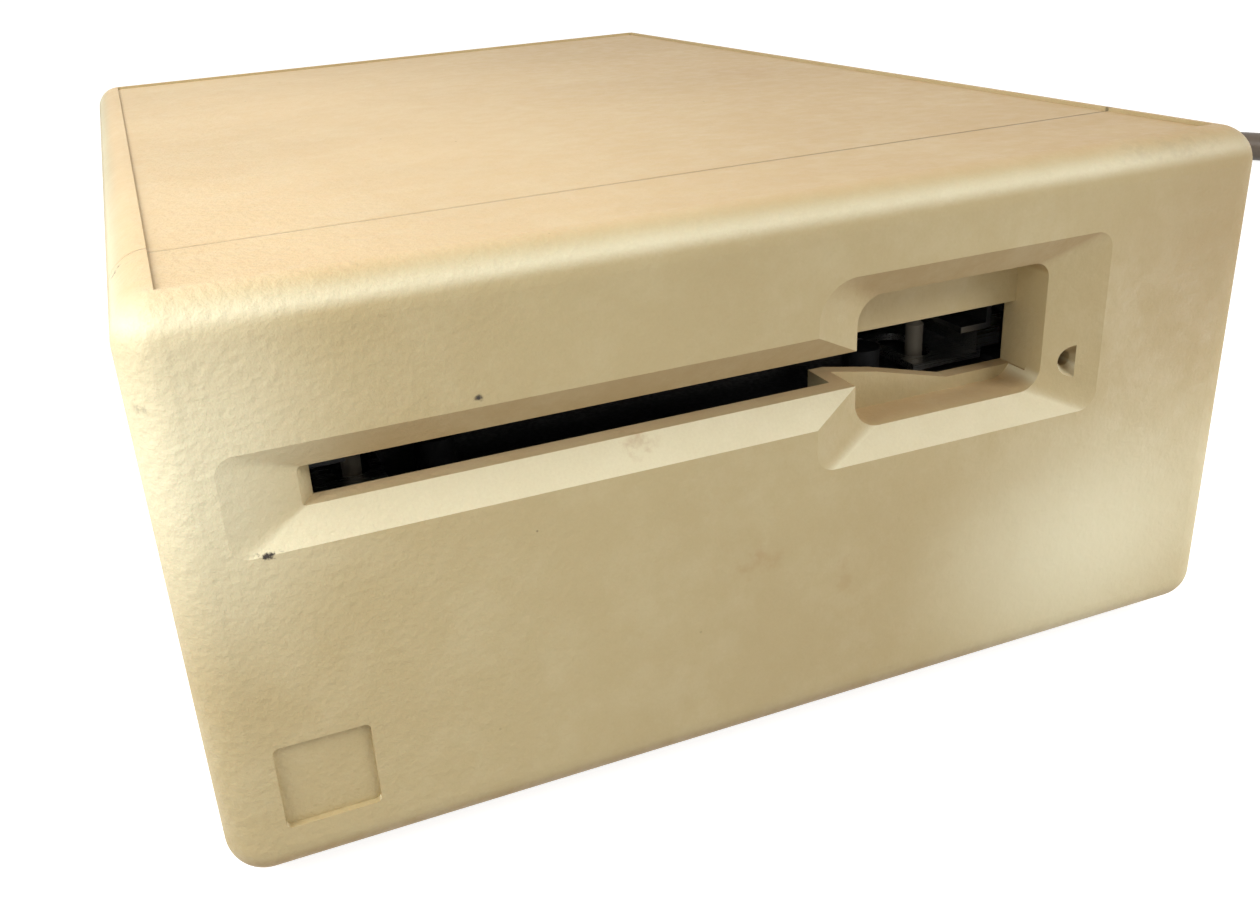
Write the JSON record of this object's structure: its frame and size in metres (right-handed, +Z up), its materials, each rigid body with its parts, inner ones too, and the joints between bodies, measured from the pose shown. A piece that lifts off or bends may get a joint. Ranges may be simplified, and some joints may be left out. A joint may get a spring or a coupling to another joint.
{
  "type": "external floppy disk drive",
  "caption": "Low beige moulded case with a bevelled disk slot and thumb pocket in front, a shielded disk mechanism inside, and a captive round cable with a D connector",
  "frame": {"origin": "middle of the case's footprint, on the surface that its rubber feet stand on", "axes": "+X to the right seen from the front, +Y to the back along the case's length, +Z up"},
  "size_m": [0.4172, 0.3582, 0.0715],
  "materials": {
    "front_bezel": "moulded, fine spark texture",
    "upper_cover": "moulded, fine spark texture",
    "base_pan": "moulded",
    "rubber_feet": "matt",
    "case_screws": "zinc plated",
    "strain_relief": "moulded",
    "cable_tube": "smooth vinyl",
    "cable_coil": "smooth vinyl",
    "cable_tail": "smooth vinyl",
    "plug_hood": "moulded",
    "plug_shell": "tin plated",
    "plug_pins": "gold flashed pins in black block",
    "plug_screws": "nickel plated",
    "shield_tray": "tin plate",
    "shield_lid": "tin plate",
    "drive_chassis": "die cast",
    "mounting_brackets": "plated",
    "bracket_screws": "plated",
    "spindle_board": "circuit board",
    "spindle_bearing": "sintered bronze",
    "spindle_coils": "enamelled copper",
    "guide_rods": "ground steel",
    "stepper_motor": "plated can",
    "stepper_bracket": "plated",
    "track_zero_sensor": "moulded",
    "switch_housings": "moulded",
    "eject_motor": "plated can",
    "logic_board": "circuit board",
    "board_chips": "moulded",
    "board_capacitors": "sleeved",
    "data_header": "moulded",
    "inner_lead": "flat lead",
    "lead_splice": "moulded",
    "cable_stub": "smooth vinyl",
    "spindle_rotor": "plated",
    "spindle_hub": "turned",
    "spindle_shaft": "ground",
    "lead_screw": "threaded",
    "head_carriage": "glass filled",
    "lower_head": "ceramic",
    "arm_pivot_pin": "ground",
    "upper_arm": "sheet",
    "upper_head": "ceramic",
    "slide_plate": "plated sheet",
    "disk_carrier": "plated sheet",
    "disk_leaf_springs": "spring steel",
    "shutter_rivet": "turned",
    "shutter_lever": "plated sheet",
    "latch_lever": "acetal",
    "write_protect_plunger": "acetal",
    "disk_in_plunger": "acetal",
    "density_plunger": "acetal",
    "cam_wheel": "acetal",
    "idler_gear": "acetal",
    "motor_pinion": "turned"
  },
  "bodies": {
    "case": {"front_bezel": "front_bezel", "upper_cover": "upper_cover", "base_pan": "base_pan", "rubber_feet": "rubber_feet", "case_screws": "case_screws", "strain_relief": "strain_relief", "cable_tube": "cable_tube", "cable_coil": "cable_coil", "cable_tail": "cable_tail", "plug_hood": "plug_hood", "plug_shell": "plug_shell", "plug_pins": "plug_pins", "plug_screws": "plug_screws", "shield_tray": "shield_tray", "shield_lid": "shield_lid", "drive_chassis": "drive_chassis", "mounting_brackets": "mounting_brackets", "bracket_screws": "bracket_screws", "spindle_board": "spindle_board", "spindle_bearing": "spindle_bearing", "spindle_coils": "spindle_coils", "guide_rods": "guide_rods", "stepper_motor": "stepper_motor", "stepper_bracket": "stepper_bracket", "track_zero_sensor": "track_zero_sensor", "switch_housings": "switch_housings", "eject_motor": "eject_motor", "logic_board": "logic_board", "board_chips": "board_chips", "board_capacitors": "board_capacitors", "data_header": "data_header", "inner_lead": "inner_lead", "lead_splice": "lead_splice", "cable_stub": "cable_stub"},
    "spindle": {"spindle_rotor": "spindle_rotor", "spindle_hub": "spindle_hub", "spindle_shaft": "spindle_shaft"},
    "screw": {"lead_screw": "lead_screw"},
    "carriage": {"head_carriage": "head_carriage", "lower_head": "lower_head", "arm_pivot_pin": "arm_pivot_pin"},
    "arm": {"upper_arm": "upper_arm", "upper_head": "upper_head"},
    "cam_plate": {"slide_plate": "slide_plate"},
    "carrier": {"disk_carrier": "disk_carrier", "disk_leaf_springs": "disk_leaf_springs", "shutter_rivet": "shutter_rivet"},
    "shutter": {"shutter_lever": "shutter_lever"},
    "latch": {"latch_lever": "latch_lever"},
    "write_protect_pin": {"write_protect_plunger": "write_protect_plunger"},
    "disk_in_pin": {"disk_in_plunger": "disk_in_plunger"},
    "density_pin": {"density_plunger": "density_plunger"},
    "cam": {"cam_wheel": "cam_wheel"},
    "idler": {"idler_gear": "idler_gear"},
    "pinion": {"motor_pinion": "motor_pinion"}
  },
  "joints": [
    {"name": "spindle_spin", "type": "hinge", "parent": "case", "child": "spindle", "pos_m": [-0.00825, -0.041, 0.03], "axis": [0, 0, 1], "continuous": true},
    {"name": "lead_screw_spin", "type": "hinge", "parent": "case", "child": "screw", "pos_m": [0.00875, 0, 0.044], "axis": [0, 1, 0], "range_deg": [0, 1776]},
    {"name": "head_step", "type": "slide", "parent": "case", "child": "carriage", "axis": [0, -1, 0], "range_m": [0, 0.0148]},
    {"name": "cam_plate_slide", "type": "slide", "parent": "case", "child": "cam_plate", "axis": [0, -1, 0], "range_m": [0, 0.005]},
    {"name": "carrier_drop", "type": "slide", "parent": "case", "child": "carrier", "axis": [0, 0, -1], "range_m": [0, 0.0028]},
    {"name": "arm_lower", "type": "hinge", "parent": "carriage", "child": "arm", "pos_m": [-0.0105, 0.028, 0.0488], "axis": [1, 0, 0], "range_deg": [0, 10.3]},
    {"name": "latch_turn", "type": "hinge", "parent": "case", "child": "latch", "pos_m": [-0.038, 0.02, 0.042], "axis": [0, 0, 1], "range_deg": [0, 23.54]},
    {"name": "shutter_open", "type": "hinge", "parent": "carrier", "child": "shutter", "pos_m": [-0.04425, -0.002, 0.0525], "axis": [0, 0, 1], "range_deg": [0, 44], "stiffness_Nm_per_rad": 0.003, "springref_deg": -5.73},
    {"name": "write_protect_press", "type": "slide", "parent": "case", "child": "write_protect_pin", "axis": [0, 0, -1], "range_m": [0, 0.0015], "stiffness_N_per_m": 100, "springref_m": -0.0005},
    {"name": "disk_in_press", "type": "slide", "parent": "case", "child": "disk_in_pin", "axis": [0, 0, -1], "range_m": [0, 0.0015], "stiffness_N_per_m": 100, "springref_m": -0.0005},
    {"name": "density_press", "type": "slide", "parent": "case", "child": "density_pin", "axis": [0, 0, -1], "range_m": [0, 0.0015], "stiffness_N_per_m": 100, "springref_m": -0.0005},
    {"name": "cam_turn", "type": "hinge", "parent": "case", "child": "cam", "pos_m": [0.0295, 0.022, 0.045], "axis": [0, 0, 1], "continuous": true},
    {"name": "idler_turn", "type": "hinge", "parent": "case", "child": "idler", "pos_m": [0.02906, 0.03469, 0.046], "axis": [0, 0, 1], "continuous": true},
    {"name": "eject_motor_spin", "type": "hinge", "parent": "case", "child": "pinion", "pos_m": [0.02729, 0.04727, 0.046], "axis": [0, 0, 1], "continuous": true}
  ],
  "couplings": [
    {"joint": "lead_screw_spin", "follows": "head_step", "rad_per_m": 2094.4},
    {"joint": "carrier_drop", "follows": "cam_plate_slide", "ratio": 0.56},
    {"joint": "arm_lower", "follows": "cam_plate_slide", "rad_per_m": 35.954},
    {"joint": "latch_turn", "follows": "cam_plate_slide", "rad_per_m": 82.158},
    {"joint": "idler_turn", "follows": "cam_turn", "ratio": -2.5},
    {"joint": "eject_motor_spin", "follows": "cam_turn", "ratio": 6.25}
  ]
}
